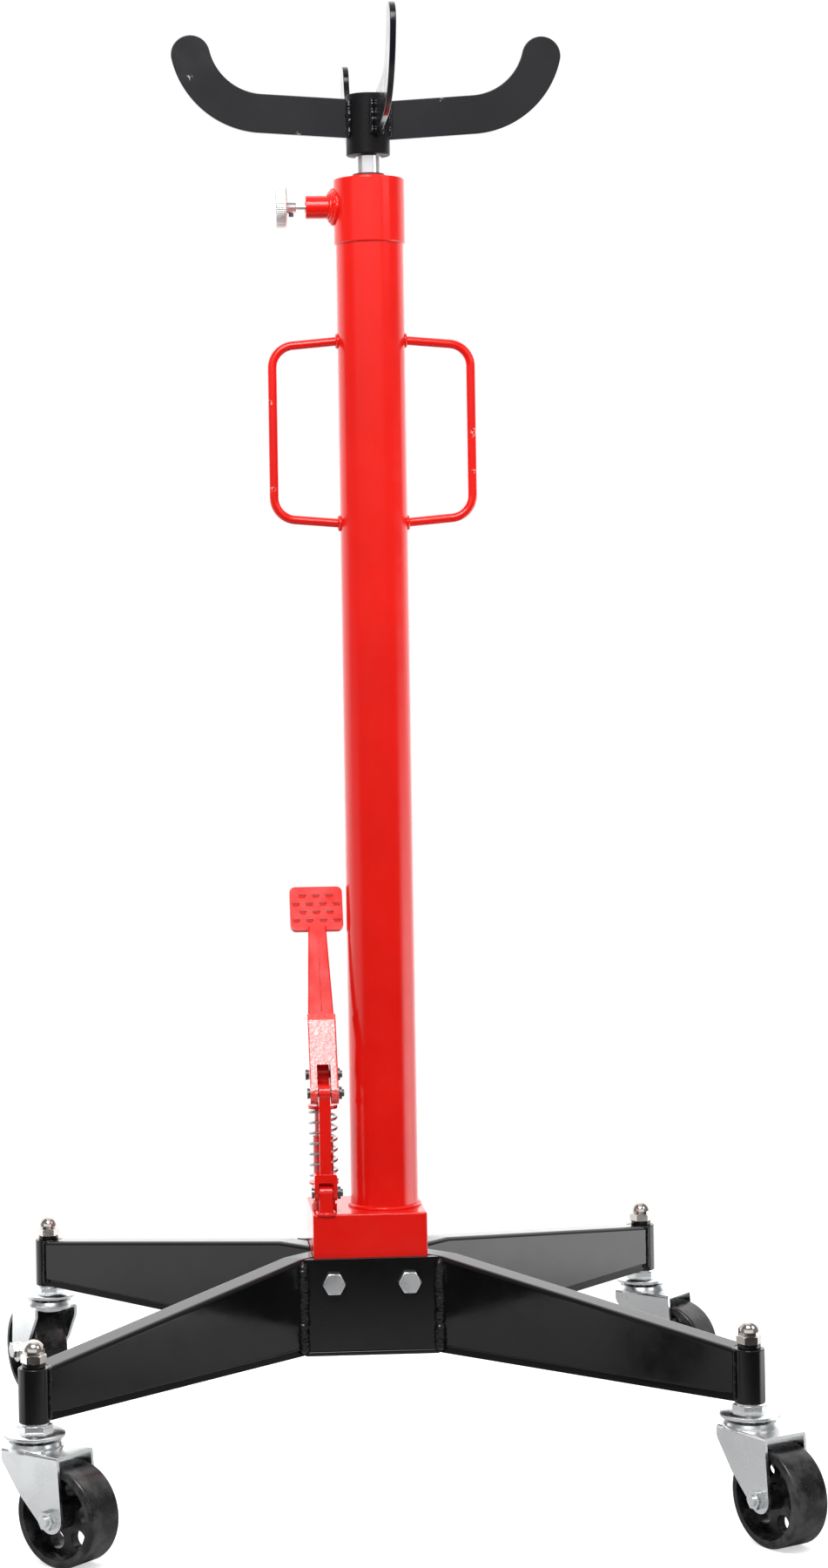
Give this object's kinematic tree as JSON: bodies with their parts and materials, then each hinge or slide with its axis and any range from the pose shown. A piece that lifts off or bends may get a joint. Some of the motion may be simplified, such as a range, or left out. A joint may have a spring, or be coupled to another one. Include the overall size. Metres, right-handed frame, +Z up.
{
  "type": "vertical hydraulic transmission jack",
  "caption": "Foot-pumped vertical jack on a cross base with swivel casters, a tall red column and a curved-arm saddle that lifts and turns.",
  "frame": {"origin": "on the floor, under the axis of the ram", "axes": "+Z up along the ram; +X to the right of someone facing the pedal; -Y towards that person"},
  "size_m": [0.6533, 0.6517, 1.2012],
  "materials": {
    "red_enamel": "gloss",
    "black_enamel": "gloss",
    "zinc_plate": "satin",
    "dark_zinc": "satin",
    "spring_steel": "satin",
    "chrome_ram": "polished",
    "nickel": "polished",
    "bare_steel": "machined",
    "seal_rubber": "matte",
    "wheel_black": "semi-matt"
  },
  "bodies": {
    "root": {"front_plate": "black_enamel", "rear_plate": "black_enamel", "floor_plate": "black_enamel", "leg_front_left": "black_enamel", "leg_front_right": "black_enamel", "leg_rear_left": "black_enamel", "leg_rear_right": "black_enamel", "leg_base_bars": "black_enamel", "caster_sleeves": "black_enamel", "frame_bolts": "zinc_plate", "base_block": "red_enamel", "reservoir_tube": "red_enamel", "pressure_cylinder": "bare_steel", "head_collar": "red_enamel", "rod_seal": "seal_rubber", "gland_nut": "red_enamel", "wiper_ring": "seal_rubber", "filler_plug": "red_enamel", "handle_right": "red_enamel", "handle_left": "red_enamel", "valve_boss": "red_enamel", "pump_cylinder": "red_enamel", "spring_seat": "red_enamel", "return_spring": "spring_steel", "check_balls": "bare_steel", "pump_lug": "red_enamel", "lug_pin": "dark_zinc", "caster_stems": "zinc_plate", "cap_spacers": "black_enamel", "cap_nuts": "nickel", "swivel_balls": "bare_steel"},
    "ram": {"ram": "chrome_ram", "ram_guide_ring": "bare_steel"},
    "saddle": {"saddle_hub": "black_enamel", "saddle_arm_right": "black_enamel", "saddle_arm_rear": "black_enamel", "saddle_arm_left": "black_enamel", "saddle_arm_front": "black_enamel"},
    "link": {"pump_link": "red_enamel"},
    "lever": {"lever_socket": "red_enamel", "pedal_arm": "red_enamel", "lever_pins": "dark_zinc"},
    "plunger": {"pump_plunger": "red_enamel", "plunger_seal": "seal_rubber"},
    "release_seat": {"release_ball": "bare_steel"},
    "release_screw": {"release_spindle": "zinc_plate", "release_knob": "zinc_plate", "knob_screw": "dark_zinc"},
    "yoke_front_left": {"yoke_front_left": "zinc_plate", "axle_front_left": "zinc_plate"},
    "wheel_front_left": {"wheel_front_left": "wheel_black"},
    "yoke_front_right": {"yoke_front_right": "zinc_plate", "axle_front_right": "zinc_plate"},
    "wheel_front_right": {"wheel_front_right": "wheel_black"},
    "yoke_rear_left": {"yoke_rear_left": "zinc_plate", "axle_rear_left": "zinc_plate"},
    "wheel_rear_left": {"wheel_rear_left": "wheel_black"},
    "yoke_rear_right": {"yoke_rear_right": "zinc_plate", "axle_rear_right": "zinc_plate"},
    "wheel_rear_right": {"wheel_rear_right": "wheel_black"}
  },
  "joints": [
    {"name": "ram_lift", "type": "slide", "parent": "root", "child": "ram", "axis": [0, 0, 1], "range_m": [0, 0.69]},
    {"name": "saddle_swivel", "type": "hinge", "parent": "ram", "child": "saddle", "pos_m": [0, 0, 1.13], "axis": [0, 0, 1], "continuous": true},
    {"name": "pedal_swing", "type": "hinge", "parent": "link", "child": "lever", "pos_m": [-0.052, -0.0365, 0.315], "axis": [-1, 0, 0], "range_deg": [0, 40], "stiffness_Nm_per_rad": 1, "springref_deg": -48.7},
    {"name": "link_tilt", "type": "hinge", "parent": "root", "child": "link", "pos_m": [-0.052, -0.0365, 0.232], "axis": [1, 0, 0], "range_deg": [0, 3]},
    {"name": "plunger_stroke", "type": "slide", "parent": "root", "child": "plunger", "axis": [0, 0, -1], "range_m": [0, 0.0165], "deforming": ["return_spring"]},
    {"name": "release_back_off", "type": "slide", "parent": "root", "child": "release_seat", "axis": [-1, 0, 0], "range_m": [0, 0.00224]},
    {"name": "release_turn", "type": "hinge", "parent": "release_seat", "child": "release_screw", "pos_m": [-0.05, 0, 1.057], "axis": [-1, 0, 0], "range_deg": [0, 540]},
    {"name": "caster_swivel_front_left", "type": "hinge", "parent": "root", "child": "yoke_front_left", "pos_m": [-0.29, -0.256, 0.08], "axis": [0, 0, 1], "continuous": true},
    {"name": "wheel_roll_front_left", "type": "hinge", "parent": "yoke_front_left", "child": "wheel_front_left", "pos_m": [-0.2651, -0.27765, 0.0381], "axis": [0.6561, 0.7547, 0], "continuous": true},
    {"name": "caster_swivel_front_right", "type": "hinge", "parent": "root", "child": "yoke_front_right", "pos_m": [0.2588, -0.256, 0.08], "axis": [0, 0, 1], "continuous": true},
    {"name": "wheel_roll_front_right", "type": "hinge", "parent": "yoke_front_right", "child": "wheel_front_right", "pos_m": [0.2748, -0.28486, 0.0381], "axis": [0.8746, 0.4848, 0], "continuous": true},
    {"name": "caster_swivel_rear_left", "type": "hinge", "parent": "root", "child": "yoke_rear_left", "pos_m": [-0.29, 0.256, 0.08], "axis": [0, 0, 1], "continuous": true},
    {"name": "wheel_roll_rear_left", "type": "hinge", "parent": "yoke_rear_left", "child": "wheel_rear_left", "pos_m": [-0.30289, 0.28638, 0.0381], "axis": [-0.9205, -0.3907, 0], "continuous": true},
    {"name": "caster_swivel_rear_right", "type": "hinge", "parent": "root", "child": "yoke_rear_right", "pos_m": [0.2588, 0.256, 0.08], "axis": [0, 0, 1], "continuous": true},
    {"name": "wheel_roll_rear_right", "type": "hinge", "parent": "yoke_rear_right", "child": "wheel_rear_right", "pos_m": [0.2837, 0.23435, 0.0381], "axis": [0.6561, 0.7547, 0], "continuous": true}
  ],
  "couplings": [
    {"joint": "link_tilt", "follows": "pedal_swing", "ratio": 0.07},
    {"joint": "plunger_stroke", "follows": "pedal_swing", "m_per_rad": 0.0225},
    {"joint": "release_turn", "follows": "release_back_off", "rad_per_m": 4188.8}
  ]
}
